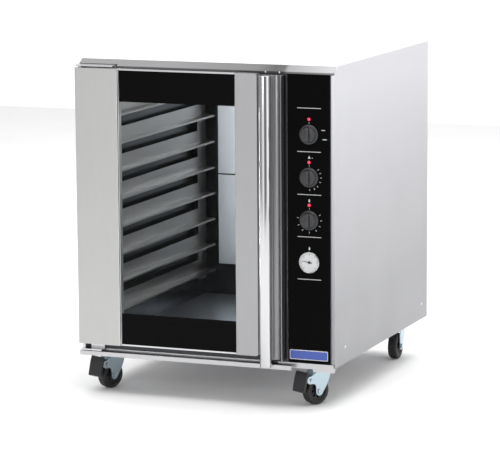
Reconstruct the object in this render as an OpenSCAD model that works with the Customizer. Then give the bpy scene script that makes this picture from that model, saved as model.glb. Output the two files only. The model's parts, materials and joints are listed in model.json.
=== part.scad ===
// Proofing cabinet: a low heated and humidified dough cabinet on four castors, the front two braked.
// The working frame has X from the middle of the width, Y from the front face of the
// shell towards the rear, and Z from the underside of the shell. to_floor() moves a
// finished piece so that the origin lies on the floor under the middle of the cabinet.

/* [Cabinet] */
// Outside width of the shell
cabinet_w = 735; // [720:1:760]
// Depth of the shell from its front face to its rear panel
cabinet_d = 790; // [785:1:830]
// Height of the shell without castors
cabinet_h = 803; // [800:1:830]
// Sheet thickness of the outer panels
skin = 1.2; // [0.8:0.1:2]
// Height of the sloping strip along the top front edge
fascia_h = 16; // [12:1:20]
// Depth of the sloping strip along the top front edge
fascia_d = 22; // [18:1:30]

/* [Cavity] */
// X of the left cavity wall
cavity_left = -308; // [-325:1:-300]
// X of the right cavity wall
cavity_right = 200; // [196:1:204]
// Z of the cavity floor
cavity_floor = 35; // [30:1:40]
// Z of the cavity ceiling
cavity_top = 745; // [735:1:755]
// Y of the cavity rear wall
cavity_rear = 740; // [735:1:742]

/* [Tray racks] */
// Number of tray levels
levels = 8; // [4:1:8]
// Height between two tray levels
level_pitch = 76.5; // [70:0.5:78]
// Z of the lowest tray ledge
first_level = 117; // [100:1:130]
// Height of each runner web above its ledge
runner_web = 35; // [25:1:45]
// Width of each tray ledge
ledge_w = 30; // [20:1:36]
// Clear width between the two rack webs
rack_gap = 472; // [464:1:480]

/* [Door] */
// Thickness of the door from its face to its back
door_t = 22; // [20:1:26]
// Gap behind the door that the seal fills
seal_gap = 5.5; // [4.5:0.5:6]
// Z of the lower edge of the door
door_low = 25.6; // [22:0.2:30]
// Z of the upper edge of the door
door_high = 782; // [775:1:783]
// X of the inner edge of the hinge stile
hinge_stile_x = -240; // [-250:1:-230]
// X of the inner edge of the handle stile
handle_stile_x = 97; // [90:1:105]
// How far the outer glass lies behind the door face
glass_recess = 9; // [6:1:11]
// Height of the black printed bands at the top and bottom of the glass
band_h = 89; // [60:1:100]
// Radius of the full height handle bar
handle_r = 16.5; // [14:0.5:17]

/* [Controls] */
// X of the line that the knobs and the thermometer share
control_x = 298.5; // [295:0.5:302]
// Height between two control sections
section_pitch = 113.8; // [110:0.1:116]
// Z of the printed line above the top control section
top_line_z = 693.5; // [690:0.5:700]
// Radius of the knob skirt
knob_r = 26; // [22:0.5:28]
// Radius of the thermometer dial
dial_r = 27; // [24:0.5:29]

/* [Castors] */
// Height of a castor from its top plate to the floor
castor_h = 111; // [105:1:120]
// Radius of a castor wheel
wheel_r = 37.5; // [35:0.5:38]
// Width of a castor wheel
wheel_w = 26; // [22:1:27]
// Distance from the swivel axis to the wheel axle
trail = 22; // [20:1:26]
// X of the castors from the middle of the width
castor_x = 303; // [295:1:315]
// Y of the front castors from the front face
castor_front_y = 75; // [65:1:90]
// Y of the rear castors from the front face
castor_rear_y = 715; // [700:1:725]

/* [Hidden] */
$fn = 48;

half_w = cabinet_w / 2;
inner_w = half_w - skin;
fascia_z = cabinet_h - fascia_h;      // where the slope starts above its lip
lip_z = fascia_z - 5;                 // lower edge of the fascia lip
flange = 10.5;                        // front return of the side panels
clear = 0.3;                          // gap between pieces that only lie side by side
run = 0.05;                           // radial running clearance of a pin in its bore

// Door
door_back = -seal_gap;
door_face = door_back - door_t;
handle_back = door_back - 15.5;       // flat back of the handle bar
channel_low = 17;                     // lower end of the finger channel
handle_edge_x = 163;                  // where the flat stile ends and the handle starts
door_right_x = 228.5;
glass_y = door_face + glass_recess;
glass_t = 4;
rail_t = 4.4;
hinge_x = -355;
hinge_y = -16.5;
hinge_pin_r = 5;
handle_c = [183, -29.5];
handle_low = -1;
handle_high = 778;

// Control column
facia_x = [237, 357];
facia_z = [11.5, 782];
facia_y = -5;
knob_z = [for (k = [0:2]) top_line_z - 69 - k * section_pitch];
lamp_z = [for (k = [0:2]) top_line_z - 29 - k * section_pitch];
gauge_z = top_line_z - 3 * section_pitch - 68;
spindle_r = 3;

// Rear air duct
baffle_y = 712;
baffle_x = [-254, 190];
baffle_z = [132, 735];
baffle_joint = 400;
fan_x = -30;
fan_z = 570;
fan_r = 78;
shaft_r = 4;

// Racks
rack_front = 22;
rack_rear = 700;
rack_post = 59;
rack_left_x = -290;
rack_right_x = rack_left_x + rack_gap;
rack_low = first_level - 25;
rack_high = first_level + (levels - 1) * level_pitch + runner_web + 50;

// Castors: name order front left, front right, rear left, rear right
castor_at = [
    [-castor_x, castor_front_y, 248],
    [castor_x, castor_front_y, 240],
    [-castor_x, castor_rear_y, 255],
    [castor_x, castor_rear_y, 272]
];
axle_z = wheel_r - castor_h;
axle_r = 4;
cheek_in = wheel_w / 2 + 2.5;
cheek_out = cheek_in + 2.5;
pedal_pin = [50, -40];
pedal_pin_r = 3;

// The cabinet's box runs from the handle to the inlet gland
gland_out = 14;
centre_y = (cabinet_d + gland_out + handle_c[1] - handle_r) / 2;

// ---- helpers ----

module to_floor() {
    translate([0, -centre_y, castor_h]) children();
}

module block(low, high) {
    translate(low) cube(high - low);
}

// A round bar along Y, from y0 to y1
module bar_y(x, z, y0, y1, r) {
    translate([x, y1, z]) rotate([90, 0, 0]) cylinder(h = y1 - y0, r = r);
}

// A shape drawn in Y and Z and drawn out along X
module along_x(x0, x1) {
    translate([x0, 0, 0]) rotate([90, 0, 90]) linear_extrude(x1 - x0) children();
}

// A rounded rectangle
module round_rect(w, h, r) {
    union() {
        square([w - 2 * r, h], center = true);
        square([w, h - 2 * r], center = true);
        for (sx = [-1, 1], sy = [-1, 1])
            translate([sx * (w / 2 - r), sy * (h / 2 - r)]) circle(r);
    }
}

// ---- shell ----

module side_outline() {
    polygon([
        [0, 0], [cabinet_d, 0], [cabinet_d, cabinet_h],
        [fascia_d, cabinet_h], [0, fascia_z]
    ]);
}

// A side panel on the right; the left one is its mirror image
module side_panel_right() {
    union() {
        along_x(half_w - skin, half_w) side_outline();
        block([half_w - flange, 0, 12], [half_w - skin / 2, skin, lip_z - 1]);
        block([half_w - 22, cabinet_d - skin - 14, 32],
              [half_w - skin / 2, cabinet_d - 14, cabinet_h - 4]);
    }
}

module right_side_panel() {
    color("gainsboro") to_floor() side_panel_right();
}

module left_side_panel() {
    color("gainsboro") to_floor() mirror([1, 0, 0]) side_panel_right();
}

module top_panel() {
    color("whitesmoke") to_floor()
        block([-inner_w, fascia_d + clear, cabinet_h - skin],
              [inner_w, cabinet_d - skin - clear, cabinet_h]);
}

// The sloping strip with its lip; its left end is notched for the hinge
module top_fascia() {
    color("silver") to_floor() difference() {
        along_x(-inner_w, inner_w) polygon([
            [-3, lip_z], [-3, fascia_z], [0, fascia_z + 2], [fascia_d, cabinet_h],
            [fascia_d, cabinet_h - skin], [0.8, fascia_z + 0.6], [-1.5, fascia_z - 1],
            [-1.5, lip_z]
        ]);
        block([-inner_w - 1, -10, lip_z - 1], [-254, 6, door_high + 9]);
    }
}

module rear_panel() {
    color("gainsboro") to_floor() difference() {
        block([-inner_w, cabinet_d - skin, 2.5],
              [inner_w, cabinet_d, cabinet_h - skin - clear]);
        bar_y(290, 70, cabinet_d - 5, cabinet_d + 5, 10);
        for (row = [0:5], side = [-1, 1])
            block([side * 60 - 45, cabinet_d - 5, 620 + row * 14],
                  [side * 60 + 45, cabinet_d + 5, 625 + row * 14]);
    }
}

// Folded pan with the rail that shows under the control column
module base_chassis() {
    color("gainsboro") to_floor() union() {
        difference() {
            block([-inner_w + clear, 13, 0], [inner_w - clear, cabinet_d - 3, 30]);
            block([-inner_w + 2.3, 15, 2], [inner_w - 2.3, cabinet_d - 5, 31]);
        }
        block([-364, 1, -5], [364, 14, 10]);
        for (side = [-1, 1])
            block([side * 334.5 - 29.5, 1, -12], [side * 334.5 + 29.5, 13, 10]);
    }
}

// Front surround of the cavity, folded into the liner
module front_frame() {
    color("silver") to_floor() difference() {
        block([-half_w + flange + clear, 0, 12], [facia_x[0] - 2, 8, lip_z - clear]);
        block([cavity_left, -1, cavity_floor], [cavity_right, 9, cavity_top]);
        block([-half_w, 1.5, 20], [cavity_left - 12, 9, lip_z - 10]);
        block([cavity_right + 12, 1.5, 20], [facia_x[0] + 1, 9, lip_z - 10]);
    }
}

// Drip strip under the door
module door_sill() {
    color("gainsboro") to_floor() along_x(-half_w, 252) polygon([
        [-20, -8], [-20, 4], [-18, 5], [1, 7], [1, 5.4], [-17.4, 3.2], [-18.5, 2.6],
        [-18.5, -8]
    ]);
}

// ---- cavity ----

module liner_left() {
    color("silver") to_floor()
        block([cavity_left - skin, 8 + clear, cavity_floor],
              [cavity_left, cavity_rear, cavity_top]);
}

module liner_right() {
    color("silver") to_floor()
        block([cavity_right, 8 + clear, cavity_floor],
              [cavity_right + skin, cavity_rear, cavity_top]);
}

module liner_ceiling() {
    color("silver") to_floor()
        block([cavity_left - skin, 8 + clear, cavity_top],
              [cavity_right + skin, cavity_rear + skin, cavity_top + skin]);
}

module liner_floor() {
    color("silver") to_floor()
        block([cavity_left - skin, 8 + clear, cavity_floor - skin],
              [cavity_right + skin, cavity_rear + skin, cavity_floor]);
}

module liner_rear() {
    color("silver") to_floor() difference() {
        block([cavity_left - skin, cavity_rear, cavity_floor],
              [cavity_right + skin, cavity_rear + skin, cavity_top]);
        bar_y(fan_x, fan_z, cavity_rear - 5, cavity_rear + 5, 12);
    }
}

// Two cover panels over the air duct, with the fan's intake grille
module rear_baffle() {
    color("silver") to_floor() difference() {
        union() {
            baffle_panel(baffle_z[0], baffle_joint - 2);
            baffle_panel(baffle_joint + 2, baffle_z[1]);
        }
        for (ring = [1:5], k = [0:ring * 6 - 1])
            rotate_about_fan(k * 360 / (ring * 6))
                bar_y(ring * 13, 0, baffle_y - 5, baffle_y + 5, 4);
    }
}

module rotate_about_fan(angle) {
    translate([fan_x, 0, fan_z]) rotate([0, angle, 0]) children();
}

module baffle_panel(low, high) {
    union() {
        block([baffle_x[0], baffle_y, low], [baffle_x[1], baffle_y + skin, high]);
        for (x = [baffle_x[0] + 30, baffle_x[1] - 30 - skin])
            block([x, baffle_y, low + 20], [x + skin, cavity_rear, high - 20]);
    }
}

module insulation() {
    color("khaki") to_floor() union() {
        block([cavity_left - 28, 20, cavity_floor], [cavity_left - 2, 730, cavity_top]);
        block([cavity_left, 20, cavity_top + 2], [cavity_right, 730, cavity_top + 28]);
        block([cavity_left, cavity_rear + 2, 60], [-110, cavity_rear + 28, cavity_top]);
        block([50, cavity_rear + 2, 110], [cavity_right, cavity_rear + 28, cavity_top]);
    }
}

// The web, ledge and lip of every level between a front and a rear post
module rack() {
    union() {
        for (y = [rack_front, rack_rear - rack_post])
            block([0, y, rack_low], [skin, y + rack_post, rack_high]);
        for (k = [0:levels - 1]) {
            block([0, rack_front, ledge_z(k) - skin],
                  [skin, rack_rear, ledge_z(k) + runner_web]);
            block([skin / 2, rack_front, ledge_z(k) - skin], [ledge_w, rack_rear, ledge_z(k)]);
            block([ledge_w - skin, rack_front, ledge_z(k) - 5],
                  [ledge_w, rack_rear, ledge_z(k)]);
        }
    }
}

function ledge_z(k) = first_level + k * level_pitch;

module left_rack() {
    color("gainsboro") to_floor() translate([rack_left_x, 0, 0]) rack();
}

module right_rack() {
    color("gainsboro") to_floor()
        translate([rack_right_x, 0, 0]) mirror([1, 0, 0]) rack();
}

// Wall plate of a hook, pointed downwards
module hook_plate(x, y, z) {
    translate([x, y, z]) rotate([90, 0, 90]) linear_extrude(1.5)
        polygon([[-3, 0], [3, 0], [11, 20], [11, 26], [-11, 26], [-11, 20]]);
}

// Four wall hooks for each rack
module rack_hooks() {
    color("silver") to_floor()
        for (y = [150, 655], z = [250, 556]) {
            hook_plate(cavity_left, y, z);
            block([cavity_left + 1, y - 8, z + 20], [rack_left_x, y + 8, z + 22]);
            hook_plate(cavity_right - 1.5, y, z);
            block([rack_right_x, y - 8, z + 20], [cavity_right - 1, y + 8, z + 22]);
        }
}

// Lamp in a shallow round holder on the ceiling
module cavity_lamp() {
    color("lightyellow") to_floor() translate([-60, 90, 0]) union() {
        translate([0, 0, cavity_top - 6]) cylinder(h = 6, r = 34);
        translate([0, 0, cavity_top - 18]) cylinder(h = 12.5, r = 26);
    }
}

// Humidity water pan on the cavity floor
module water_tray() {
    color("gainsboro") to_floor() difference() {
        block([-100, 480, cavity_floor], [110, 690, cavity_floor + 45]);
        block([-98.5, 481.5, cavity_floor + 1.5], [108.5, 688.5, cavity_floor + 46]);
    }
}

// Tubular heater lying in the water pan
module humidity_element() {
    color("dimgray") to_floor() translate([5, 600, cavity_floor + 16]) union() {
        for (side = [-1, 1])
            translate([side * 40, -70, 0]) rotate([-90, 0, 0]) cylinder(h = 100, r = 4);
        translate([0, -70, 0]) rotate([0, 0, 180])
            rotate_extrude(angle = 180) translate([40, 0]) circle(4);
        for (side = [-1, 1]) {
            translate([side * 40, 30, 0]) cylinder(h = 45, r = 4);
            translate([side * 40, 30, 0]) sphere(4);
            translate([side * 40, 30, 45]) sphere(4);
            translate([side * 40, 30, 45]) rotate([-90, 0, 0]) cylinder(h = 110, r = 4);
        }
    }
}

// ---- air circulation ----

module fan_rotor() {
    color("silver") to_floor() rotate_about_fan(0) union() {
        bar_y(0, 0, 732, 734, fan_r);
        bar_y(0, 0, 720, 775, shaft_r);
        bar_y(0, 0, 724, 732.5, 12);
        for (k = [0:11])
            rotate([0, k * 30, 0])
                block([30, 719, -0.6], [fan_r - 1, 732.5, 0.6]);
    }
}

module fan_motor() {
    color("dimgray") to_floor() rotate_about_fan(0) difference() {
        union() {
            bar_y(0, 0, cavity_rear + 4, cavity_rear + 44, 38);
            bar_y(0, 0, cavity_rear + 1.6, cavity_rear + 5, 11);
            for (side = [-1, 1])
                block([side * 48 - 12, cavity_rear + 1.4, -8],
                      [side * 48 + 12, cavity_rear + 6, 8]);
        }
        bar_y(0, 0, cavity_rear, cavity_rear + 40, shaft_r + run);
    }
}

// Ring heater around the rotor, held to the rear wall by its two tails
module heating_element() {
    color("dimgray") to_floor() union() {
        for (y = [719.5, 731])
            translate([fan_x, y, fan_z]) rotate([90, 0, 0])
                rotate_extrude($fn = 72) translate([100, 0]) circle(3.2);
        for (side = [-1, 1])
            block([fan_x + side * 20 - 3, 719.5, fan_z - 103],
                  [fan_x + side * 20 + 3, cavity_rear, fan_z - 94]);
    }
}

// ---- control column ----

module control_chassis() {
    color("silver") to_floor() difference() {
        union() {
            block([facia_x[0] - 1, facia_y + 2, facia_z[0] + 1],
                  [facia_x[1] - clear, 0, facia_z[1] - 1]);
            block([facia_x[0] + 2, 0, facia_z[0] + 6], [facia_x[1] - 4, 2, facia_z[1] - 6]);
        }
        for (z = knob_z) bar_y(control_x, z, facia_y - 5, 5, spindle_r + 1.2);
        for (z = lamp_z) bar_y(control_x, z, facia_y - 5, 5, 4.3);
        bar_y(control_x, gauge_z, facia_y - 5, 5, dial_r - 1);
    }
}

// Printed front panel of the control column
module control_facia() {
    color("black") to_floor() difference() {
        block([facia_x[0], facia_y, facia_z[0]], [facia_x[1], facia_y + 2, facia_z[1]]);
        for (z = knob_z) bar_y(control_x, z, facia_y - 5, facia_y + 5, spindle_r + 1.2);
        for (z = lamp_z) bar_y(control_x, z, facia_y - 5, facia_y + 5, 4.3);
        bar_y(control_x, gauge_z, facia_y - 5, facia_y + 5, dial_r - 1);
    }
}

// Plain blue plate with a raised silver border
module badge_plate() {
    color("royalblue") to_floor() translate([296.5, facia_y, 34]) rotate([90, 0, 0])
        difference() {
            linear_extrude(1.6) round_rect(108, 26, 1.5);
            translate([0, 0, 1.1]) linear_extrude(1) round_rect(104.4, 22.4, 1);
        }
}

module knob(z) {
    translate([control_x, 0, z]) union() {
        bar_y(0, 0, facia_y - 4.5, facia_y - 1, knob_r);
        translate([0, facia_y - 4.3, 0]) rotate([90, 0, 0])
            rotate_extrude($fn = 60) polygon([
                [0, 0], [knob_r - 3, 0], [knob_r - 6, 9], [knob_r - 7.5, 10.5], [0, 10.5]
            ]);
        translate([0, facia_y - 14, 0]) rotate([90, 0, 0])
            linear_extrude(9) round_rect(11, 2 * knob_r - 8, 4);
        bar_y(0, 0, facia_y - 2, 30, spindle_r);
    }
}

module mode_knob() {
    color("dimgray") to_floor() knob(knob_z[0]);
}

module temperature_knob() {
    color("dimgray") to_floor() knob(knob_z[1]);
}

module humidity_knob() {
    color("dimgray") to_floor() knob(knob_z[2]);
}

// Rotary switch, thermostat and humidity regulator behind the facia
module control_units() {
    color("ivory") to_floor() difference() {
        union() {
            block([control_x - 20, 2.4, knob_z[0] - 22], [control_x + 20, 46, knob_z[0] + 22]);
            bar_y(control_x, knob_z[1], 2.4, 38, 24);
            block([control_x - 24, 2.4, knob_z[2] - 18], [control_x + 24, 40, knob_z[2] + 18]);
        }
        for (z = knob_z) bar_y(control_x, z, 0, 34, spindle_r + run);
    }
}

module indicator_lamps() {
    color("crimson") to_floor()
        for (z = lamp_z) {
            bar_y(control_x, z, facia_y - 1.8, facia_y, 5.4);
            bar_y(control_x, z, facia_y - 0.5, 24, 4);
            translate([control_x, facia_y - 1.8, z]) rotate([90, 0, 0]) intersection() {
                translate([0, 0, -3]) sphere(5.5);
                cylinder(h = 6, r = 5);
            }
        }
}

// ---- thermometer ----

module thermometer_case() {
    color("whitesmoke") to_floor() translate([control_x, 0, gauge_z]) difference() {
        union() {
            bar_y(0, 0, facia_y - 5, facia_y, dial_r + 1.6);
            bar_y(0, 0, facia_y - 1, 20, dial_r - 2);
        }
        bar_y(0, 0, facia_y - 6, facia_y - 1, dial_r);
        bar_y(0, 0, facia_y - 3, facia_y + 9, 1.05);
    }
}

module thermometer_lens() {
    color("lightcyan", 0.4) to_floor() translate([control_x, 0, gauge_z])
        bar_y(0, 0, facia_y - 4.8, facia_y - 3.9, dial_r);
}

// The needle points to the left and slightly up
module thermometer_needle() {
    color("black") to_floor() translate([control_x, 0, gauge_z]) rotate([0, 9, 0]) union() {
        bar_y(0, 0, facia_y - 3.4, facia_y - 2, 2.6);
        bar_y(0, 0, facia_y - 2.5, facia_y + 8, 1);
        translate([0, facia_y - 2.2, 0]) rotate([90, 0, 0]) linear_extrude(0.8)
            polygon([[8, 0.9], [8, -0.9], [0, -1.3], [-19, -0.4], [-19, 0.4], [0, 1.3]]);
    }
}

// ---- door ----

module door_left_stile() {
    color("gainsboro") to_floor() difference() {
        translate([0, 0, door_low]) linear_extrude(door_high - door_low) union() {
            difference() {
                polygon([
                    [-half_w, door_back - 6], [-half_w, door_face + 3],
                    [-half_w + 3, door_face], [hinge_stile_x - 4, door_face],
                    [hinge_stile_x, door_face + 4], [hinge_stile_x, door_back],
                    [-half_w + 6, door_back]
                ]);
                translate([-half_w + 26, door_face + 1.2])
                    square([hinge_stile_x + half_w - 27.2, door_t - 2.4]);
            }
        }
        for (z = [door_low - 1, door_high - 29])
            translate([hinge_x, hinge_y, z]) cylinder(h = 30, r = hinge_pin_r + 2 * run);
    }
}

module door_right_stile() {
    color("silver") to_floor() intersection() {
        translate([0, 0, door_low]) linear_extrude(door_high - door_low) difference() {
            polygon([
                [handle_stile_x, door_back], [handle_stile_x, door_face + 1.5],
                [handle_stile_x + 1.5, door_face], [handle_edge_x - 3, door_face],
                [handle_edge_x, door_face + 3], [handle_edge_x, door_back]
            ]);
            translate([handle_stile_x + 1.2, door_face + 1.2])
                square([handle_edge_x - handle_stile_x - 2.4, door_t - 2.4]);
        }
        union() {
            translate([(handle_stile_x + handle_edge_x) / 2, 5, (door_low + door_high) / 2])
                rotate([90, 0, 0]) linear_extrude(60)
                    round_rect(handle_edge_x - handle_stile_x, door_high - door_low, 11);
            block([handle_stile_x - 1, -60, door_low], [handle_stile_x + 30, 5, door_high]);
        }
    }
}

// Thin rails that close the door above and below the glass
module door_rails() {
    color("silver") to_floor()
        for (z = [door_low, door_high - rail_t])
            block([hinge_stile_x, glass_y - 3, z],
                  [handle_stile_x, door_back, z + rail_t]);
}

module glass_pane(y) {
    block([hinge_stile_x + clear, y, door_low + rail_t + clear],
          [handle_stile_x - clear, y + glass_t, door_high - rail_t - clear]);
}

module outer_glass() {
    color("lightblue", 0.3) to_floor() glass_pane(glass_y);
}

module inner_glass() {
    color("lightblue", 0.3) to_floor() glass_pane(door_back - glass_t);
}

// Printed bands on the outer glass
module glass_bands() {
    color("black") to_floor()
        for (z = [door_low + rail_t + clear, door_high - rail_t - clear - band_h + rail_t])
            block([hinge_stile_x + clear, glass_y - 0.4, z],
                  [handle_stile_x - clear, glass_y, z + band_h - rail_t]);
}

// Magnetic seal around the cavity mouth
module door_gasket() {
    color("dimgray") to_floor() translate([-57, -0.5, 391.5]) rotate([90, 0, 0])
        linear_extrude(seal_gap - 0.5) difference() {
            round_rect(536, 729, 12);
            round_rect(518, 711, 6);
        }
}

module handle_outline() {
    intersection() {
        circle(handle_r, $fn = 72);
        translate([-2 * handle_r, -2 * handle_r])
            square([4 * handle_r, 2 * handle_r + handle_back - handle_c[1]]);
    }
}

// Convex bar that runs the full height of the door
module door_handle() {
    color("silver") to_floor() translate([handle_c[0], handle_c[1], handle_low])
        linear_extrude(handle_high - handle_low) handle_outline();
}

// Finger channel beside the bar, with its outer lip
module handle_channel() {
    color("gray") to_floor() translate([0, 0, channel_low])
        linear_extrude(handle_high - channel_low) difference() {
            polygon([
                [handle_edge_x, door_back], [handle_edge_x, handle_back],
                [door_right_x - 4.5, handle_back], [door_right_x - 3, door_face + 0.5],
                [door_right_x - 1.5, door_face], [door_right_x, door_face + 1.5],
                [door_right_x, door_back]
            ]);
            translate([212, door_face + 1.5]) circle(12, $fn = 72);
        }
}

// Upper and lower hinge plates with their pins
module door_hinges() {
    color("silver") to_floor() union() {
        block([-363.5, -26, door_high + 4], [-256, 2, door_high + 8]);
        block([-340, 0, lip_z - clear], [-256, 2, door_high + 7]);
        translate([hinge_x, hinge_y, door_high - 24]) cylinder(h = 30, r = hinge_pin_r);
        block([-363.5, -26, 7.5], [-300, 0, 11]);
        block([-340, -3.2, 7.5], [-300, 0, 24]);
        translate([hinge_x, hinge_y, 9]) cylinder(h = 36, r = hinge_pin_r);
    }
}

// ---- fasteners and rear inlet ----

module dome_screw(r) {
    intersection() {
        translate([0, 0, -r * 1.4]) sphere(r * 1.9);
        cylinder(h = r, r = r);
    }
}

module panel_screws() {
    color("silver") to_floor() union() {
        for (side = [-1, 1], y = [82, 738], z = [45])
            translate([side * half_w, y, z]) rotate([0, side * 90, 0]) dome_screw(3.6);
        for (x = [176, 215])
            translate([x, -3, lip_z + 2.6]) rotate([90, 0, 0]) dome_screw(2.4);
    }
}

module inlet_gland() {
    color("black") to_floor() translate([290, 0, 70]) difference() {
        union() {
            bar_y(0, 0, cabinet_d - 8, cabinet_d + gland_out, 9.8);
            translate([0, cabinet_d + 5, 0]) rotate([90, 0, 0])
                cylinder(h = 5, r = 14, $fn = 6);
        }
        bar_y(0, 0, cabinet_d - 12, cabinet_d + gland_out + 1, 5);
    }
}

// ---- castors ----

module at_castor(k) {
    translate([castor_at[k][0], castor_at[k][1], 0])
        rotate([0, 0, castor_at[k][2]]) children();
}

module castor_plates() {
    color("lightsteelblue") to_floor()
        for (k = [0:3])
            translate([castor_at[k][0], castor_at[k][1], 0]) difference() {
                union() {
                    block([-38, -30, -3], [38, 30, 0]);
                    translate([0, 0, -9]) cylinder(h = 7, r = 15);
                    for (x = [-29, 29], y = [-21, 21])
                        translate([x, y, -7]) cylinder(h = 5, r = 6.4, $fn = 6);
                }
                translate([0, 0, -10]) cylinder(h = 8, r = 6 + run);
            }
}

// Side outline of a fork cheek, X along the trail and Y upwards
module fork_outline(braked) {
    union() {
        polygon([
            [-26, -13], [26, -13], [33, -42], [34, -73.5], [9, -76], [-4, -58], [-25, -17]
        ]);
        translate([trail, axle_z]) circle(12);
        if (braked) {
            polygon([
                [20, -13], [26, -13], [36, -22], [50, -29.5], [60, -34], [60, -48],
                [54, -50.4], [43, -50.8], [38, -53], [35, -57], [34, -64], [20, -60]
            ]);
            translate([54, -40]) circle(10.5);
        }
    }
}

module castor_fork(braked) {
    union() {
        intersection() {
            translate([0, 0, -100]) linear_extrude(87) difference() {
                union() {
                    translate([-8, 0]) circle(cheek_out);
                    translate([-8, -cheek_out]) square([84, 2 * cheek_out]);
                }
                union() {
                    translate([-8, 0]) circle(cheek_in);
                    translate([-8, -cheek_in]) square([94, 2 * cheek_in]);
                }
            }
            translate([0, 40, 0]) rotate([90, 0, 0]) linear_extrude(80) fork_outline(braked);
        }
        translate([0, 0, -14]) cylinder(h = 2.5, r = 20);
        translate([0, 0, -11.5]) cylinder(h = 2, r = 23);
        translate([0, 0, -12]) cylinder(h = 9.5, r = 6);
        axle(trail, axle_z, axle_r, 6.5);
        if (braked) axle(pedal_pin[0], pedal_pin[1], pedal_pin_r, 4.5);
    }
}

// A pin across the fork with a head at each end
module axle(x, z, r, head_r) {
    union() {
        translate([x, 0, z]) bar_y(0, 0, -cheek_out - 1, cheek_out + 1, r);
        for (side = [-1, 1])
            translate([x, side * (cheek_out + 1.5), z]) rotate([90, 0, 0])
                cylinder(h = 3, r = head_r, center = true);
    }
}

module castor_wheel() {
    translate([trail, 0, axle_z]) rotate([90, 0, 0]) difference() {
        rotate_extrude($fn = 72) polygon([
            [axle_r + run, -14], [9, -14], [9, -9], [24, -9], [27, -13], [wheel_r - 3, -13],
            [wheel_r - 0.6, -10], [wheel_r, -6], [wheel_r, 6], [wheel_r - 0.6, 10],
            [wheel_r - 3, 13], [27, 13], [24, 9], [9, 9], [9, 14], [axle_r + run, 14]
        ]);
        for (k = [0:7])
            rotate([0, 0, k * 45]) translate([16.5, 0, -12]) cylinder(h = 24, r = 3.6);
    }
}

// Side outline of the brake pedal: hub, arm and hanging paddle
module castor_pedal() {
    difference() {
        union() {
            translate([0, cheek_in - 0.7, 0]) rotate([90, 0, 0])
                linear_extrude(2 * cheek_in - 1.4) union() {
                    translate(pedal_pin) circle(5.4);
                    polygon([[47, -35], [66, -25], [70, -31], [54, -43]]);
                }
            translate([0, 24, 0]) rotate([90, 0, 0]) linear_extrude(48)
                polygon([
                    [64, -19], [66, -17], [69, -17.5], [74.5, -33], [82, -68], [80.5, -71],
                    [77.5, -70.5], [70, -40]
                ]);
        }
        translate([0, 40, 0]) bar_y(pedal_pin[0], pedal_pin[1], -90, 10, pedal_pin_r + run);
    }
}

module fork(k) {
    color("lightsteelblue") to_floor() at_castor(k) castor_fork(k < 2);
}

module wheel(k) {
    color("dimgray") to_floor() at_castor(k) castor_wheel();
}

module pedal(k) {
    color("black") to_floor() at_castor(k) castor_pedal();
}

left_side_panel();
right_side_panel();
top_panel();
top_fascia();
rear_panel();
base_chassis();
front_frame();
door_sill();
liner_left();
liner_right();
liner_ceiling();
liner_floor();
liner_rear();
rear_baffle();
insulation();
control_facia();
control_chassis();
badge_plate();
mode_knob();
temperature_knob();
humidity_knob();
control_units();
indicator_lamps();
thermometer_case();
thermometer_lens();
thermometer_needle();
left_rack();
right_rack();
rack_hooks();
fan_rotor();
fan_motor();
heating_element();
water_tray();
humidity_element();
cavity_lamp();
door_left_stile();
door_right_stile();
door_rails();
outer_glass();
inner_glass();
glass_bands();
door_gasket();
door_handle();
handle_channel();
door_hinges();
panel_screws();
inlet_gland();
castor_plates();
fork(0);  // fork_front_left
fork(1);  // fork_front_right
fork(2);  // fork_rear_left
fork(3);  // fork_rear_right
wheel(0);  // wheel_front_left
wheel(1);  // wheel_front_right
wheel(2);  // wheel_rear_left
wheel(3);  // wheel_rear_right
pedal(0);  // pedal_front_left
pedal(1);  // pedal_front_right
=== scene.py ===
import json
import math
import bpy
import bmesh
from mathutils import Matrix, Vector


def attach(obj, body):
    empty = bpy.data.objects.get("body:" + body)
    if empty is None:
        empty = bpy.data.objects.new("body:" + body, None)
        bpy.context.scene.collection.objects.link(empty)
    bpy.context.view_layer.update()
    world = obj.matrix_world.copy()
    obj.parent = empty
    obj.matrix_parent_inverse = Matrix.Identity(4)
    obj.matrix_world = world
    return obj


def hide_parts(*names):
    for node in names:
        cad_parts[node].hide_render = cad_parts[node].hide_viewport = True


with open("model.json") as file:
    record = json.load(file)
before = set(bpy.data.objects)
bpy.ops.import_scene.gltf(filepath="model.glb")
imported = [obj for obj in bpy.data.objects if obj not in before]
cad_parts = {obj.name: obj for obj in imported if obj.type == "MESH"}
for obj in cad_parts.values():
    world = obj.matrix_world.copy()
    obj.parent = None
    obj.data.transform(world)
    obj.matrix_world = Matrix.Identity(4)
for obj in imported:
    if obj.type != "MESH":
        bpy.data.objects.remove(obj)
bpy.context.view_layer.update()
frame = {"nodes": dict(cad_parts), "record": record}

# A low stainless proofing cabinet: lights, finishes and the pieces that need a finer shape than
# the CAD gives. The scene is in metres, with its origin on the floor under the middle of the
# cabinet, +Z up and -Y to the front. Shapes are given in mm in the cabinet's own frame, and
# place() turns them into the scene's metres.

scene = bpy.context.scene
mm = 0.001

# the cabinet's own frame: x from the middle, y from the shell's front face, z from the shell's underside
shell = {"frontY": -379 * mm, "floorGap": 111 * mm}


def place(x, y, z):
    return Vector((x * mm, y * mm + shell["frontY"], z * mm + shell["floorGap"]))


# ---- camera ----
cameraSet = {
    "place": (2762.1, -6629.2, 1515.3),   # mm, in the cabinet's own frame
    "yaw": 21.668,
    "pitch": 9.076,
    "roll": -0.354,
    "lens": 195.62,
}


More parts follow.
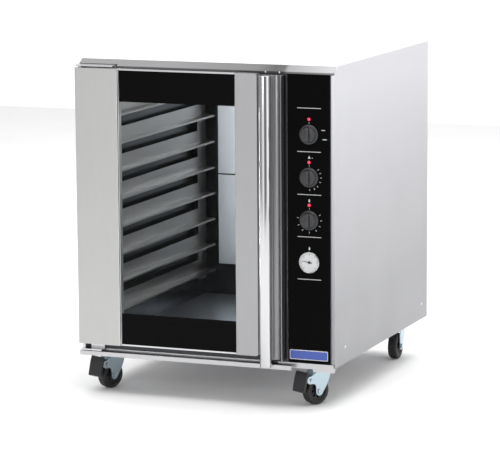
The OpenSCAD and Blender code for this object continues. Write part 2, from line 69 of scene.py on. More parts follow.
def addCamera(s):
    yaw, pitch, roll = (math.radians(s[k]) for k in ("yaw", "pitch", "roll"))
    forward = Vector((-math.sin(yaw) * math.cos(pitch), math.cos(yaw) * math.cos(pitch), -math.sin(pitch)))
    right = Vector((math.cos(yaw), math.sin(yaw), 0))
    up = right.cross(forward)
    rightTurned = right * math.cos(roll) + up * math.sin(roll)
    upTurned = up * math.cos(roll) - right * math.sin(roll)
    data = bpy.data.cameras.new("camera")
    data.lens, data.sensor_width, data.sensor_fit = s["lens"], 36, "HORIZONTAL"
    data.clip_start, data.clip_end = 0.1, 60
    camera = bpy.data.objects.new("camera", data)
    turn = Matrix((rightTurned, upTurned, -forward)).transposed()
    camera.matrix_world = Matrix.Translation(place(*s["place"])) @ turn.to_4x4()
    scene.collection.objects.link(camera)
    scene.camera = camera


addCamera(cameraSet)
print("camera placed")

# ---- node and colour helpers ----


def hexColour(text, alpha=1.0):
    def linear(v):
        return v / 12.92 if v <= 0.04045 else ((v + 0.055) / 1.055) ** 2.4
    return tuple(linear(int(text[i:i + 2], 16) / 255) for i in (0, 2, 4)) + (alpha,)


def addNode(tree, kind, settings=None, links=None):
    # settings: {attribute or input name: value}; links: {input name: socket that feeds it}
    node = tree.nodes.new(kind)
    for key, value in (settings or {}).items():
        if key in node.inputs.keys():
            node.inputs[key].default_value = value
        else:
            setattr(node, key, value)
    for key, socket in (links or {}).items():
        tree.links.new(socket, node.inputs[key])
    return node


def addRamp(tree, factor, stops):
    ramp = addNode(tree, "ShaderNodeValToRGB", links={"Fac": factor})
    elements = ramp.color_ramp.elements
    while len(elements) > 1:
        elements.remove(elements[-1])
    elements[0].position, elements[0].color = stops[0]
    for position, colour in stops[1:]:
        elements.new(position).color = colour
    return ramp.outputs["Color"]


def grey(v):
    return (v, v, v, 1)


def newMaterial(name, settings):
    material = bpy.data.materials.new(name)
    material.use_nodes = True
    tree = material.node_tree
    tree.nodes.clear()
    shader = addNode(tree, "ShaderNodeBsdfPrincipled", settings)
    output = addNode(tree, "ShaderNodeOutputMaterial")
    tree.links.new(shader.outputs["BSDF"], output.inputs["Surface"])
    return material, tree, shader


def objectPattern(tree, scale, kind="ShaderNodeTexNoise", settings=None):
    coords = addNode(tree, "ShaderNodeTexCoord")
    mapping = addNode(tree, "ShaderNodeMapping", {"Scale": scale}, {"Vector": coords.outputs["Object"]})
    return addNode(tree, kind, settings, {"Vector": mapping.outputs["Vector"]})


def addBump(tree, shader, height, strength, distance):
    bump = addNode(tree, "ShaderNodeBump", {"Strength": strength, "Distance": distance}, {"Height": height})
    tree.links.new(bump.outputs["Normal"], shader.inputs["Normal"])


# ---- metals ----
# Brushed sheet gets streaks about 1 mm wide, coarser than on real sheet so that they show.
# All of it is the same steel; its base colour differs from piece to piece as painted light and shade: darker
# copies where a piece lies in shade, as in the cavity and under the door, lighter ones where it catches the
# light.


def sheetMetal(name, colour, roughness, spread, streak, bumpMm=0.01, depth=0.06):
    material, tree, shader = newMaterial(name, {"Metallic": 1.0})
    lines = objectPattern(tree, streak, settings={"Scale": 1.0, "Detail": 3.0, "Roughness": 0.6})
    clouds = objectPattern(tree, (5, 5, 4), settings={"Scale": 1.0, "Detail": 2.0})
    base = hexColour(colour)
    darker = tuple(c * (1 - depth) for c in base[:3]) + (1,)
    tree.links.new(addRamp(tree, lines.outputs["Fac"], [(0.3, darker), (0.7, base)]),
                   shader.inputs["Base Color"])
    low, high = roughness - spread, roughness + spread
    tree.links.new(addRamp(tree, clouds.outputs["Fac"], [(0.3, grey(low)), (0.7, grey(high))]),
                   shader.inputs["Roughness"])
    addBump(tree, shader, lines.outputs["Fac"], 0.25, bumpMm * mm)
    return material


satinSteel = sheetMetal("satin_stainless_sheet", "BABAB9", 0.4, 0.02, (900, 900, 12), 0.005)
sideSteel = sheetMetal("satin_stainless_side", "DADADE", 0.42, 0.03, (900, 12, 900), 0.002, 0.02)
topSteel = sheetMetal("satin_stainless_top", "F6F6F7", 0.36, 0.01, (12, 900, 900), 0.002, 0.02)
trimSteel = sheetMetal("bright_stainless_trim", "CFCFD1", 0.24, 0.03, (12, 900, 900), 0.004)
fasciaSteel = sheetMetal("satin_stainless_fascia", "E0E0E2", 0.34, 0.03, (12, 900, 900), 0.004)
# near-white copy of the steel, used as a painted highlight along the left stile's inner edge
edgeHighlightSteel = sheetMetal("stainless_edge_painted_highlight", "FAFAFA", 0.45, 0.02, (900, 900, 12), 0.002)
screwSteel = sheetMetal("bright_stainless_screw", "F0F0F0", 0.3, 0.02, (300, 300, 300), 0.002)
stileSteel = sheetMetal("satin_stainless_stile", "A6A6A8", 0.4, 0.02, (900, 900, 12), 0.005)
# the frame strip under the door is darkened as painted shade, the shadow of the door above it
frameShadeSteel = sheetMetal("stainless_frame_painted_shade", "424346", 0.42, 0.03, (900, 900, 12), 0.004)
sillSteel = sheetMetal("satin_stainless_sill", "C0C0C2", 0.36, 0.03, (12, 900, 900), 0.004)
# the liner's very dark grey is painted shade of the closed cavity
linerSteel = sheetMetal("polished_stainless_liner", "3C3D40", 0.24, 0.02, (700, 12, 700), 0.003)
ductSteel = sheetMetal("satin_stainless_duct", "E6EEF6", 0.34, 0.02, (700, 700, 12), 0.003)
rackSteel = sheetMetal("smooth_stainless_rack", "A3A19E", 0.32, 0.02, (900, 12, 900), 0.003)


def shadeAlong(material, axis, stops):
    # painted shading that stands for what the sheet reflects, so it stays put when the view turns;
    # stops are (metres along the axis, factor)
    tree = material.node_tree
    shader = next(n for n in tree.nodes if n.type == "BSDF_PRINCIPLED")
    colour = shader.inputs["Base Color"].links[0].from_socket
    coords = addNode(tree, "ShaderNodeTexCoord")
    split = addNode(tree, "ShaderNodeSeparateXYZ", links={"Vector": coords.outputs["Object"]})
    low, high = stops[0][0], stops[-1][0]
    along = addNode(tree, "ShaderNodeMapRange", {"From Min": low, "From Max": high},
                    {"Value": split.outputs[axis]})
    tone = addRamp(tree, along.outputs["Result"], [((at - low) / (high - low), grey(v)) for at, v in stops])
    mix = addNode(tree, "ShaderNodeMix", {"data_type": "RGBA", "blend_type": "MULTIPLY"})
    mix.inputs[0].default_value = 1.0
    tree.links.new(colour, mix.inputs[6])
    tree.links.new(tone, mix.inputs[7])
    tree.links.new(mix.outputs[2], shader.inputs["Base Color"])


shadeAlong(fasciaSteel, "X", [(-0.367, 0.22), (0.02, 0.14), (0.15, 0.11), (0.2, 0.06),
                              (0.226, 0.07), (0.236, 0.19), (0.37, 0.3)])
shadeAlong(sideSteel, "Z", [(0.1, 0.46), (0.27, 0.5), (0.55, 0.73), (0.85, 0.98), (0.92, 1.0)])
handleMetal = sheetMetal("polished_aluminium_bar", "CDCDCF", 0.14, 0.01, (300, 300, 4), 0.0004, 0.02)
# the finger channel's dark grey is painted shade and dark reflection of the recess beside the bar
channelMetal = sheetMetal("satin_aluminium_channel", "8E8E90", 0.4, 0.02, (300, 300, 4), 0.0008, 0.02)
zincSteel = sheetMetal("zinc_plated_steel", "B4C4CC", 0.3, 0.06, (160, 160, 160), 0.03)
fanMetal = sheetMetal("plain_aluminium_sheet", "C8C8CA", 0.3, 0.05, (300, 300, 300))
elementMetal = sheetMetal("oxidised_heater_tube", "5A5552", 0.4, 0.06, (400, 400, 400))
motorPaint = sheetMetal("dark_painted_casting", "3A3B3D", 0.5, 0.05, (200, 200, 200), 0.05)

# ---- plastics, rubber, glass and print ----


def moulded(name, colour, roughness, grainMm=0.5, depthMm=0.02, settings=None):
    # moulded plastic or rubber with a fine spark texture from its tool
    material, tree, shader = newMaterial(name, {"Roughness": roughness, **(settings or {})})
    grain = objectPattern(tree, (1, 1, 1), settings={"Scale": 1 / (grainMm * mm), "Detail": 2.0})
    base = hexColour(colour)
    lighter = tuple(min(1, c * 1.25 + 0.003) for c in base[:3]) + (1,)
    tree.links.new(addRamp(tree, grain.outputs["Fac"], [(0.35, base), (0.75, lighter)]),
                   shader.inputs["Base Color"])
    addBump(tree, shader, grain.outputs["Fac"], 0.3, depthMm * mm)
    return material


faciaBlack = moulded("gloss_black_polycarbonate", "020202", 0.25, 1.5, 0.003, {"Specular IOR Level": 0.03})
bandBlack = moulded("black_ceramic_frit", "020202", 0.25, 1.0, 0.002, {"Specular IOR Level": 0.05})
knobBlack = moulded("satin_black_phenolic", "2B2C2F", 0.42, 0.8, 0.03)
rubberBlack = moulded("black_tread_rubber", "17171A", 0.55, 1.2, 0.05)
pedalBlack = moulded("black_polypropylene_pedal", "1B1B1E", 0.38, 1.0, 0.04)
sealRubber = moulded("grey_silicone_seal", "2A2A2B", 0.6, 0.8, 0.03)
unitPlastic = moulded("ivory_switch_plastic", "C9C3AE", 0.45, 1.0, 0.03)
glandNylon = moulded("black_nylon_gland", "131314", 0.4, 1.0, 0.03)
woolYellow = moulded("mineral_wool", "B9A469", 0.9, 3.0, 1.2)
dialWhite = moulded("white_enamel_dial", "D6D8DA", 0.35, 0.6, 0.004)
needleBlack = moulded("black_painted_needle", "111112", 0.4, 0.5, 0.004)
badgeBlue = moulded("blue_enamel_badge", "3A50A0", 0.3, 1.5, 0.006)
printGrey = moulded("grey_white_screen_print", "B9BCBF", 0.4, 0.8, 0.004)
lampLens = moulded("red_lens_acrylic", "C42A4C", 0.2, 1.0, 0.003,
                   {"Emission Color": hexColour("FF2A55"), "Emission Strength": 0.6})
coverGlass = moulded("frosted_lamp_glass", "EDEDE4", 0.4, 0.8, 0.02)


def clearGlass(name, colour, alpha):
    # toughened float glass: the pane only tints and gives a thin gloss
    material, tree, shader = newMaterial(name, {
        "Base Color": hexColour(colour), "Roughness": 0.02, "IOR": 1.5, "Alpha": alpha})
    ripple = objectPattern(tree, (9, 9, 3), settings={"Scale": 1.0, "Detail": 1.0})
    addBump(tree, shader, ripple.outputs["Fac"], 0.05, 0.05 * mm)
    return material


doorGlass = clearGlass("toughened_clear_glass", "0A0D0D", 0.03)
lensGlass = clearGlass("clear_dial_lens", "20282A", 0.05)

# ---- CAD nodes take their finishes ----
finishOfNode = {
    "left_side_panel": sideSteel, "right_side_panel": sideSteel, "top_panel": topSteel,
    "rear_panel": satinSteel, "base_chassis": sillSteel, "front_frame": frameShadeSteel,
    "door_sill": sillSteel, "door_left_stile": satinSteel, "door_right_stile": stileSteel,
    "control_chassis": trimSteel, "top_fascia": fasciaSteel, "door_rails": trimSteel,
    "handle_channel": channelMetal, "door_hinges": trimSteel, "panel_screws": trimSteel,
    "rack_hooks": screwSteel, "liner_left": linerSteel, "liner_right": linerSteel,
    "liner_ceiling": linerSteel, "liner_floor": ductSteel, "liner_rear": linerSteel,
    "rear_baffle": ductSteel, "left_rack": rackSteel, "right_rack": rackSteel,
    "water_tray": rackSteel, "door_handle": handleMetal, "insulation": woolYellow,
    "control_facia": faciaBlack, "glass_bands": bandBlack, "badge_plate": badgeBlue,
    "mode_knob": knobBlack, "temperature_knob": knobBlack, "humidity_knob": knobBlack,
    "control_units": unitPlastic, "indicator_lamps": lampLens, "thermometer_case": dialWhite,
    "thermometer_lens": lensGlass, "thermometer_needle": needleBlack, "fan_rotor": fanMetal,
    "fan_motor": motorPaint, "heating_element": elementMetal, "humidity_element": elementMetal,
    "cavity_lamp": coverGlass, "outer_glass": doorGlass, "inner_glass": doorGlass,
    "door_gasket": sealRubber, "inlet_gland": glandNylon, "castor_plates": zincSteel,
}
for node in frame["nodes"]:
    for start, finish in (("fork_", zincSteel), ("wheel_", rubberBlack), ("pedal_", pedalBlack)):
        if node.startswith(start):
            finishOfNode[node] = finish


def setFinish(obj, material):
    obj.data.materials.clear()
    obj.data.materials.append(material)


for node, finish in finishOfNode.items():
    setFinish(frame["nodes"][node], finish)
print("finishes on CAD nodes")

# ---- modelling helpers ----
bodyOfNode = {n: body for body, group in frame["record"]["behaviour"]["bodies"].items() for n in group}


def deselectAll():
    if bpy.context.object and bpy.context.object.mode != "OBJECT":
        bpy.ops.object.mode_set(mode="OBJECT")
    bpy.ops.object.select_all(action="DESELECT")


def makeActive(obj):
    deselectAll()
    bpy.context.view_layer.objects.active = obj
    obj.select_set(True)


def startEdit(obj):
    makeActive(obj)
    bpy.ops.object.mode_set(mode="EDIT")
    bpy.ops.mesh.select_all(action="SELECT")


def endEdit():
    bpy.ops.object.mode_set(mode="OBJECT")


def finishWith(obj, kind, settings):
    makeActive(obj)
    modifier = obj.modifiers.new(kind.lower(), kind)
    for key, value in settings.items():
        setattr(modifier, key, value)
    bpy.ops.object.modifier_apply(modifier=modifier.name)


def easeEdges(obj, width, segments=2, angle=35):
    finishWith(obj, "BEVEL", {"width": width * mm, "segments": segments, "limit_method": "ANGLE",
                              "angle_limit": math.radians(angle), "use_clamp_overlap": True})


def smoothFaces(obj, angle=40):
    makeActive(obj)
    bpy.ops.object.shade_smooth_by_angle(angle=math.radians(angle))


def addPiece(obj, body, material, replaced=()):
    setFinish(obj, material)
    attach(obj, body)
    if replaced:
        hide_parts(*replaced)
    return obj


def easedCopy(node, width, segments=2, smooth=40):
    # the CAD piece with its edges eased, as cut and folded sheet has
    source = frame["nodes"][node]
    obj = bpy.data.objects.new(node + "_eased", source.data.copy())
    scene.collection.objects.link(obj)
    startEdit(obj)
    bpy.ops.mesh.customdata_custom_splitnormals_clear()
    bpy.ops.mesh.remove_doubles(threshold=0.00001)
    bpy.ops.mesh.dissolve_limited(angle_limit=math.radians(0.5))
    endEdit()
    easeEdges(obj, width, segments)
    smoothFaces(obj, smooth)
    finishWith(obj, "WEIGHTED_NORMAL", {"keep_sharp": True, "weight": 60})
    return addPiece(obj, bodyOfNode[node], finishOfNode[node], [node])


def drawOutline(name, outline):
    # one vertex, drawn on from point to point as by hand
    deselectAll()
    bpy.ops.mesh.primitive_plane_add(size=mm, location=outline[0])
    obj = bpy.context.object
    obj.name = name
    bpy.ops.object.transform_apply(location=True, rotation=True, scale=True)
    startEdit(obj)
    bpy.ops.mesh.merge(type="CENTER")
    for start, end in zip(outline, outline[1:]):
        bpy.ops.mesh.extrude_region_move(TRANSFORM_OT_translate={"value": Vector(end) - Vector(start)})
    bpy.ops.mesh.select_all(action="SELECT")
    return obj


def pushedPiece(name, outline, push):
    obj = drawOutline(name, outline)
    bpy.ops.mesh.edge_face_add()
    bpy.ops.mesh.extrude_region_move(TRANSFORM_OT_translate={"value": push})
    bpy.ops.mesh.select_all(action="SELECT")
    bpy.ops.mesh.normals_make_consistent(inside=False)
    endEdit()
    return obj


def spunPiece(name, outline, centre, axis, steps=64):
    obj = drawOutline(name, outline)
    bpy.ops.mesh.spin(steps=steps, angle=2 * math.pi, center=centre, axis=axis)
    bpy.ops.mesh.select_all(action="SELECT")
    bpy.ops.mesh.remove_doubles(threshold=0.000005)
    bpy.ops.mesh.normals_make_consistent(inside=False)
    endEdit()
    return obj


def joinPieces(first, *others):
    makeActive(first)
    for other in others:
        other.select_set(True)
    bpy.ops.object.join()
    return first


def block(name, low, high):
    low, high = Vector(low), Vector(high)
    deselectAll()
    bpy.ops.mesh.primitive_cube_add(size=1, location=(low + high) / 2, scale=high - low)
    obj = bpy.context.object
    obj.name = name
    bpy.ops.object.transform_apply(location=True, rotation=True, scale=True)
    return obj


def cutAway(obj, cutter):
    finishWith(obj, "BOOLEAN", {"operation": "DIFFERENCE", "object": cutter, "solver": "EXACT"})
    bpy.data.objects.remove(cutter, do_unlink=True)


def roundedRect(x, z, width, height, radius, steps=5):
    # corner points of a rounded rectangle, as x and z pairs
    points = []
    for cornerX, cornerZ, start in ((1, 1, 0), (-1, 1, 90), (-1, -1, 180), (1, -1, 270)):
        for k in range(steps + 1):
            angle = math.radians(start + 90 * k / steps)
            points.append((x + cornerX * (width / 2 - radius) + radius * math.cos(angle),
                           z + cornerZ * (height / 2 - radius) + radius * math.sin(angle)))
    return points


def platePiece(name, points, back, front):
    # a flat piece on the front of the cabinet, from its back y to its front y
    return pushedPiece(name, [place(x, back, z) for x, z in points], Vector((0, (front - back) * mm, 0)))


# ---- sheet, rail and cast pieces: the CAD shape with eased edges ----
edgeEase = {
    "left_side_panel": 0.8, "right_side_panel": 0.8, "top_panel": 0.8, "top_fascia": 0.6,
    "rear_panel": 0.6, "base_chassis": 0.6, "front_frame": 0.5, "door_sill": 0.5,
    "control_facia": 0.5, "control_chassis": 0.4, "door_left_stile": 0.6, "door_right_stile": 0.6,
    "door_rails": 0.4, "outer_glass": 0.7, "inner_glass": 0.7, "glass_bands": 0.15,
    "door_hinges": 0.6, "door_gasket": 1.2,
    "liner_left": 0.4, "liner_right": 0.4, "liner_floor": 0.4, "liner_ceiling": 0.4,
    "liner_rear": 0.4, "rear_baffle": 0.4, "left_rack": 0.35, "right_rack": 0.35,
    "rack_hooks": 0.4, "water_tray": 0.4, "castor_plates": 0.5, "inlet_gland": 0.6,
    "fan_rotor": 0.2, "fan_motor": 0.8, "insulation": 2.0, "control_units": 0.8,
    "fork_front_left": 0.6, "fork_front_right": 0.6, "fork_rear_left": 0.6, "fork_rear_right": 0.6,
    "wheel_front_left": 0.7, "wheel_front_right": 0.7, "wheel_rear_left": 0.7, "wheel_rear_right": 0.7,
    "pedal_front_left": 1.0, "pedal_front_right": 1.0, "cavity_lamp": 0.8,
}
easedPieces = {node: easedCopy(node, width) for node, width in edgeEase.items()}
print("eased sheet pieces")


def paintEdgeHighlight(obj, material, facing):
    # the inner chamfer of the left stile gets a near-white copy of the steel as a painted highlight, the
    # glint of light along that edge
    obj.data.materials.append(material)
    for face in obj.data.polygons:
        if facing(face.normal):
            face.material_index = 1


paintEdgeHighlight(easedPieces["door_left_stile"], edgeHighlightSteel, lambda n: n.x > 0.3 and n.y < -0.05)

# ---- handle bar and finger channel: two drawn profiles, as long as the door ----
railShape = {
    "barCentre": (183, -29.5), "barRadius": 16.5, "barBack": -21, "barZ": (-1, 778),
    "grooveCentre": (212, -26), "grooveRadius": 12, "channelZ": (17, 778),
    "channelBack": -5.5, "channelLeft": 163,
    "lip": [(224, -21), (225.4, -26.6), (225.9, -27.2), (226.9, -27.5), (227.9, -27.1),
            (228.5, -26), (228.5, -5.5)],
}


def arcPoints(centre, radius, start, end, steps):
    angles = [math.radians(start + (end - start) * k / steps) for k in range(steps + 1)]
    return [(centre[0] + radius * math.cos(a), centre[1] + radius * math.sin(a)) for a in angles]


def addRail(name, profile, heights, ease, material, replaced):
    low, high = heights
    rail = pushedPiece(name, [place(x, y, low) for x, y in profile], Vector((0, 0, (high - low) * mm)))
    easeEdges(rail, ease, 3, 30)
    smoothFaces(rail, 32)
    addPiece(rail, "door", material, [replaced])


def addHandle(s):
    cut = math.degrees(math.asin((s["barBack"] - s["barCentre"][1]) / s["barRadius"]))
    bar = arcPoints(s["barCentre"], s["barRadius"], cut, -180 - cut, 96)
    addRail("handle_bar", bar, s["barZ"], 0.7, handleMetal, "door_handle")
    dip = math.degrees(math.asin((s["barBack"] - s["grooveCentre"][1]) / s["grooveRadius"]))
    groove = arcPoints(s["grooveCentre"], s["grooveRadius"], 180 - dip, dip, 48)
    channel = [(s["channelLeft"], s["channelBack"]), (s["channelLeft"], s["barBack"])] + groove + s["lip"]
    addRail("finger_channel", channel, s["channelZ"], 0.3, channelMetal, "handle_channel")


addHandle(railShape)
print("handle")

# ---- knobs ----
knobShape = {
    "x": 298.5, "topZ": 624.5, "pitch": 113.8,
    # radius and y of the skirt and body
    "body": [(0, -6), (25.2, -6), (26, -6.7), (26, -8.8), (25.3, -9.5), (22.8, -9.9), (22, -10.6),
             (20.2, -17.4), (19.2, -18.9), (17, -19.6), (0, -19.6)],
    # y and height of the grip, seen from the side
    "grip": [(-14, -21), (-19, -20.4), (-24.5, -18), (-27.2, -15.6), (-28, -13.4), (-28, 13.4),
             (-27.2, 15.6), (-24.5, 18), (-19, 20.4), (-14, 21)],
    "gripWidth": 10.4,
    "pointer": (1.6, 4.0, 13.0),         # width, then its lower and upper end above the axis
    "pointerY": (-27.9, -28.0),
}


def addKnob(node, z, s):
    x = s["x"]
    body = spunPiece(node + "_body", [place(x + r, y, z) for r, y in s["body"]], place(x, 0, z), (0, 1, 0))
    outline = [place(x - s["gripWidth"] / 2, y, z + h) for y, h in s["grip"]]
    grip = pushedPiece(node + "_grip", outline, Vector((s["gripWidth"] * mm, 0, 0)))
    easeEdges(grip, 1.6, 3, 50)
    knob = joinPieces(body, grip)
    knob.name = node + "_moulding"
    smoothFaces(knob, 35)
    addPiece(knob, bodyOfNode[node], knobBlack, [node])
    width, low, high = s["pointer"]
    line = platePiece(node + "_pointer", roundedRect(x, z + (low + high) / 2, width, high - low, 0.7),
                      *s["pointerY"])
    addPiece(line, bodyOfNode[node], printGrey)


for k, node in enumerate(("mode_knob", "temperature_knob", "humidity_knob")):
    addKnob(node, knobShape["topZ"] - k * knobShape["pitch"], knobShape)
print("knobs")

# ---- indicator lamps ----
lampShape = {
    "topZ": 664.5,
    "bezel": [(4.4, -5), (6.4, -5), (6.4, -5.9), (5.9, -6.6), (5.2, -6.9), (4.4, -6.6)],
    "lens": [(0, -4), (4.5, -4), (4.5, -6.6), (4.2, -7.2), (3.4, -7.8), (2.2, -8.2), (0, -8.4)],
}


def addLamps(s):
    lenses, bezels = [], []
    for k in range(3):
        z = s["topZ"] - k * knobShape["pitch"]
        for part, group in (("lens", lenses), ("bezel", bezels)):
            points = s[part] + (s[part][:1] if part == "bezel" else [])
            outline = [place(knobShape["x"] + r, y, z) for r, y in points]
            group.append(spunPiece("lamp_" + part, outline, place(knobShape["x"], 0, z), (0, 1, 0), 40))
    for name, group, material, replaced in (("lamp_lenses", lenses, lampLens, ["indicator_lamps"]),
                                            ("lamp_bezels", bezels, faciaBlack, [])):
        piece = joinPieces(*group)
        piece.name = name
        smoothFaces(piece, 40)
        addPiece(piece, "cabinet", material, replaced)


addLamps(lampShape)
print("lamps")

# ---- dial thermometer ----
gaugeShape = {
    "z": 284.1,
    "rim": [(26.2, -5), (28.6, -5), (28.6, -8.4), (28.1, -9.6), (27.2, -10), (26.4, -9.5), (26.2, -8.8)],
    "face": [(0, -5), (26.3, -5), (26.3, -6.1), (0, -6.1)],
    "lens": [(0, -9.75), (12, -9.7), (20, -9.45), (25, -9.1), (26.1, -8.9), (26.1, -8.3), (0, -8.7)],
    "hub": [(0, -7.0), (3.2, -7.0), (3.6, -7.3), (3.6, -7.9), (3, -8.35), (0, -8.4)],
    "needleTurn": 9,                     # degrees above level, towards the left
    "needle": [(-20, -0.35), (-20, 0.35), (0, 1.3), (8, 1.0), (8, -1.0), (0, -1.3)],
    "bladeY": (-7.25, -7.75),
    "ticks": {"from": -45, "to": 225, "count": 31, "inner": 22, "innerMajor": 19, "outer": 24.6,
              "width": 0.6, "widthMajor": 1.1, "y": (-6.05, -6.2)},
}


def barPoints(x, z, inner, outer, width, angle):
    # a radial bar about x and z; the angle runs anticlockwise from the right
    c, n = math.cos(math.radians(angle)), math.sin(math.radians(angle))
    corners = ((inner, -width / 2), (outer, -width / 2), (outer, width / 2), (inner, width / 2))
    return [(x + r * c - w * n, z + r * n + w * c) for r, w in corners]


def addGauge(s):
    x, z = knobShape["x"], s["z"]
    centre = place(x, 0, z)

    def ring(name, points, closed=False):
        outline = [place(x + r, y, z) for r, y in points + (points[:1] if closed else [])]
        return spunPiece(name, outline, centre, (0, 1, 0), 72)

    rim = ring("thermometer_rim", s["rim"], True)
    smoothFaces(rim, 50)
    addPiece(rim, "cabinet", trimSteel, ["thermometer_case"])
    face = ring("thermometer_face", s["face"])
    smoothFaces(face, 30)
    addPiece(face, "cabinet", dialWhite)
    lens = ring("thermometer_glass", s["lens"])
    smoothFaces(lens, 40)
    addPiece(lens, "cabinet", lensGlass, ["thermometer_lens"])
    t = s["ticks"]
    marks = []
    for k in range(t["count"]):
        angle = t["from"] + (t["to"] - t["from"]) * k / (t["count"] - 1)
        size = "Major" if k % 5 == 0 else ""
        points = barPoints(x, z, t["inner" + size], t["outer"], t["width" + size], angle)
        marks.append(platePiece("mark", points, *t["y"]))
    scale = joinPieces(*marks)
    scale.name = "thermometer_scale"
    addPiece(scale, "cabinet", needleBlack)
    turn = math.radians(-s["needleTurn"])
    needlePoints = [(x + u * math.cos(turn) - v * math.sin(turn), z + u * math.sin(turn) + v * math.cos(turn))
                    for u, v in s["needle"]]
    blade = platePiece("needle_blade", needlePoints, *s["bladeY"])
    needle = joinPieces(ring("needle_hub", s["hub"]), blade)
    needle.name = "thermometer_pointer"
    smoothFaces(needle, 30)
    addPiece(needle, "needle", needleBlack, ["thermometer_needle"])


addGauge(gaugeShape)
print("thermometer")

# ---- print on the facia ----
# Plain rules, ticks and small symbols; angles run anticlockwise from the right
printShape = {
    "rules": {"x": (265, 331.5), "z": (693.7, 578.5, 464.7, 352.0, 238.4), "thick": 1.6},
    "topTick": (28.5, 32.5, 1.2),
    "bars": [(17, 36, 46, 2.2), (-16, 39, 51, 2.2)],
    "ticks": {1: (40, 21, 0, -21, -45, -65, -88), 2: (27, 0, -28, -55, -90, -125, -155, 171)},
    "tickSize": (30.5, 35.5, 1.2),
    "symbols": {"heat": 563.6, "drop": 449.5, "gauge": 321.5},
    "dropSize": 4.6,
    "inkY": (-4.95, -5.1),
}


def dropPoints(x, z, size):
    points = []
    for k in range(24):
        a = 2 * math.pi * k / 24
        points.append((x + size * 0.62 * math.sin(a) * math.sin(a / 2), z + size * math.cos(a)))
    return points


def addPrint(s):
    x = knobShape["x"]
    shapes = []
    for z in s["rules"]["z"]:
        low, high = s["rules"]["x"]
        shapes.append(roundedRect((low + high) / 2, z, high - low, s["rules"]["thick"], 0.4, 2))
    for k in range(3):
        z = knobShape["topZ"] - k * knobShape["pitch"]
        shapes.append(barPoints(x, z, *s["topTick"], 90))
        inner, outer, width = s["tickSize"]
        for angle in s["ticks"].get(k, ()):
            shapes.append(barPoints(x, z, inner, outer, width, angle))
        if k == 0:
            for angle, barInner, barOuter, barWidth in s["bars"]:
                turn = math.radians(angle)
                middle = (barInner + barOuter) / 2
                shapes.append(roundedRect(x + middle * math.cos(turn), z + middle * math.sin(turn),
                                          barOuter - barInner, barWidth, 0.5, 2))
    heatZ = s["symbols"]["heat"]
    shapes.append([(x - 4, heatZ - 3), (x + 4, heatZ - 3), (x, heatZ + 4.5)])
    shapes.append(roundedRect(x + 9, heatZ - 1.5, 2.4, 2.4, 1.1, 3))
    shapes.append(dropPoints(x, s["symbols"]["drop"], s["dropSize"]))
    shapes.append(dropPoints(x, s["symbols"]["gauge"], s["dropSize"]))
    marks = [platePiece("mark", points, *s["inkY"]) for points in shapes]
    sheet = joinPieces(*marks)
    sheet.name = "facia_print"
    addPiece(sheet, "cabinet", printGrey)


addPrint(printShape)
print("facia print")

# ---- badge: a blank enamel plate in a silver border ----
badgeShape = {
    "x": 296.5, "z": 34,
    # width, height and corner radius
    "outer": (108, 26, 2.5), "inner": (104.6, 22.6, 1.6), "gap": 0.1,
    "borderY": (-5, -6.6), "cutterY": (-4, -8), "enamelY": (-5, -6.1),
}


def addBadge(s):
    width, height, radius = s["outer"]
    border = platePiece("badge_border", roundedRect(s["x"], s["z"], width, height, radius), *s["borderY"])
    width, height, radius = s["inner"]
    cutter = platePiece("badge_cutter", roundedRect(s["x"], s["z"], width, height, radius), *s["cutterY"])
    cutAway(border, cutter)
    easeEdges(border, 0.3, 2)
    smoothFaces(border, 40)
    addPiece(border, "cabinet", trimSteel, ["badge_plate"])
    points = roundedRect(s["x"], s["z"], width - s["gap"], height - s["gap"], radius)
    plate = platePiece("badge_enamel", points, *s["enamelY"])
    easeEdges(plate, 0.3, 2)
    smoothFaces(plate, 40)
    addPiece(plate, "cabinet", badgeBlue)


addBadge(badgeShape)
print("badge")

# ---- domed screws with a cross recess ----
screwShape = {
    # radius and height of each head
    "sideDome": [(0, 1.75), (1.3, 1.6), (2.4, 1.25), (3.2, 0.8), (3.55, 0.3), (3.55, -0.3), (0, -0.3)],
    "frontDome": [(0, 1.2), (0.9, 1.1), (1.7, 0.8), (2.2, 0.4), (2.35, 0.1), (2.35, -0.3), (0, -0.3)],
    "side": [(side, y) for side in (-1, 1) for y in (82, 738)],
    "sideX": 367.5, "sideZ": 45,
    "front": [176, 215], "frontY": -3, "frontZ": 784.6,
    "sideRise": 1.75, "frontRise": 1.2,
    "cross": (2.1, 0.35, 0.6),           # half length, half width, depth
}


def addScrews(s):
    heads = []
    length, width, depth = s["cross"]

    def finishHead(head, across, along, middle, outward):
        for first, second in ((across, along), (along, across)):
            reach = first * length * mm + second * width * mm + outward * depth * mm
            reach = Vector([abs(v) for v in reach])
            cutAway(head, block("recess", middle - reach, middle + reach))
        smoothFaces(head, 40)
        heads.append(head)

    for side, y in s["side"]:
        seat = place(side * s["sideX"], y, s["sideZ"])
        outline = [seat + Vector((side * h, 0, r)) * mm for r, h in s["sideDome"]]
        head = spunPiece("side_screw", outline, seat, (1, 0, 0), 28)
        outward = Vector((side, 0, 0))
        finishHead(head, Vector((0, 1, 0)), Vector((0, 0, 1)), seat + outward * s["sideRise"] * mm, outward)
    for x in s["front"]:
        seat = place(x, s["frontY"], s["frontZ"])
        outline = [seat + Vector((0, -h, r)) * mm for r, h in s["frontDome"]]
        head = spunPiece("front_screw", outline, seat, (0, 1, 0), 28)
        outward = Vector((0, -1, 0))
        finishHead(head, Vector((1, 0, 0)), Vector((0, 0, 1)), seat + outward * s["frontRise"] * mm, outward)
    screws = joinPieces(*heads)
    screws.name = "screw_heads"
    addPiece(screws, "cabinet", screwSteel, ["panel_screws"])


addScrews(screwShape)
print("screws")

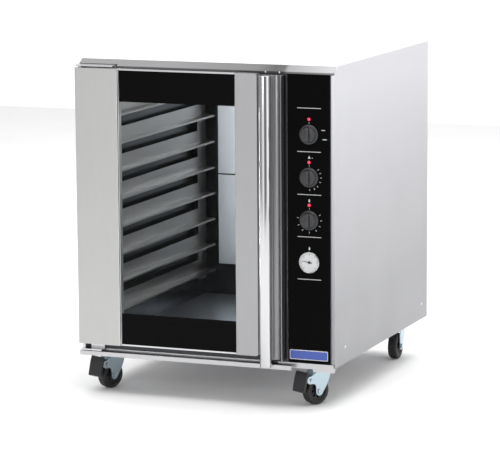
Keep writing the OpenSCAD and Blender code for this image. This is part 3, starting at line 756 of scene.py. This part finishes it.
# ---- floor, light and surroundings ----
studio = {
    "floor": "F6F6F6",
    # brightness of the room by compass angle: 0 is straight in front, 90 is to the right
    "ring": [(-180, 1.15), (-125, 1.0), (-100, 0.6), (-70, 0.42), (-42, 0.4), (-30, 0.62), (-15, 1.3),
             (0, 1.3), (9, 0.6), (20, 0.22), (42, 0.22), (56, 0.6), (66, 1.5), (102, 1.4), (125, 1.1),
             (180, 1.15)],
    "zenith": 0.5,
    "rearZenith": 1.0,
}


def addFloor(colour):
    bpy.ops.mesh.primitive_plane_add(size=9, location=(0, 1.2, -0.0005))
    floor = bpy.context.object
    floor.name = "studio_floor"
    material, tree, shader = newMaterial("matt_pale_floor", {"Roughness": 0.9, "Specular IOR Level": 0.1})
    speck = objectPattern(tree, (1, 1, 1), settings={"Scale": 3.0, "Detail": 2.0})
    stops = [(0.2, hexColour(colour)), (0.8, hexColour("FAFAFA"))]
    tree.links.new(addRamp(tree, speck.outputs["Fac"], stops), shader.inputs["Base Color"])
    setFinish(floor, material)


def addWorld(s):
    # a ring of soft walls, brighter and darker by compass angle, under a dimmer ceiling
    world = bpy.data.worlds.new("studio_room")
    scene.world = world
    world.use_nodes = True
    tree = world.node_tree
    tree.nodes.clear()
    coords = addNode(tree, "ShaderNodeTexCoord")
    split = addNode(tree, "ShaderNodeSeparateXYZ", links={"Vector": coords.outputs["Generated"]})
    frontward = addNode(tree, "ShaderNodeMath", {"operation": "MULTIPLY"})
    tree.links.new(split.outputs["Y"], frontward.inputs[0])
    frontward.inputs[1].default_value = -1
    compass = addNode(tree, "ShaderNodeMath", {"operation": "ARCTAN2"})
    tree.links.new(split.outputs["X"], compass.inputs[0])
    tree.links.new(frontward.outputs[0], compass.inputs[1])
    turn = addNode(tree, "ShaderNodeMapRange", {"From Min": -math.pi, "From Max": math.pi},
                   {"Value": compass.outputs[0]})
    ring = addRamp(tree, turn.outputs["Result"], [((a + 180) / 360, grey(v)) for a, v in s["ring"]])
    rear = addNode(tree, "ShaderNodeMapRange", {"From Min": -0.5, "From Max": 0.5,
                                                "To Min": s["zenith"], "To Max": s["rearZenith"]},
                   {"Value": split.outputs["Y"]})
    height = addNode(tree, "ShaderNodeMapRange", {"From Min": 0.35, "From Max": 0.85},
                     {"Value": split.outputs["Z"]})
    mixed = addNode(tree, "ShaderNodeMix", {"data_type": "RGBA"})
    tree.links.new(height.outputs["Result"], mixed.inputs[0])
    tree.links.new(ring, mixed.inputs[6])
    tree.links.new(rear.outputs["Result"], mixed.inputs[7])
    background = addNode(tree, "ShaderNodeBackground", {"Strength": 1.0}, {"Color": mixed.outputs[2]})
    output = addNode(tree, "ShaderNodeOutputWorld")
    tree.links.new(background.outputs["Background"], output.inputs["Surface"])


def addSoftbox(name, at, target, width, height, power):
    data = bpy.data.lights.new(name, "AREA")
    data.shape, data.size, data.size_y, data.energy = "RECTANGLE", width, height, power
    lamp = bpy.data.objects.new(name, data)
    lamp.location = at
    lamp.rotation_euler = (Vector(target) - Vector(at)).to_track_quat("-Z", "Y").to_euler()
    scene.collection.objects.link(lamp)


addFloor(studio["floor"])
addWorld(studio)
# name, place, point aimed at, width and height in metres, power in watts; the last three are
# inside the cavity and belong to the studio, not to the cabinet
softboxes = [
    ("overhead_light", (0.2, 0.4, 4.4), (0, 0, 0), 5.0, 5.0, 230),
    ("key_left_front", (-0.6, -5.2, 2.2), (-0.1, -0.3, 0.4), 1.2, 1.6, 40),
    ("cavity_light", place(-57, 40, 738), place(-40, 500, 300), 0.4, 0.04, 1.6),
    ("cavity_strip", place(-255, 14, 420), place(140, 712, 430), 0.03, 0.6, 1.5),
    ("cavity_floor_light", place(150, 330, 735), place(100, 480, 35), 0.1, 0.3, 4.0),
]
for softbox in softboxes:
    addSoftbox(*softbox)
scene.view_settings.view_transform = "Standard"
print("studio ready")
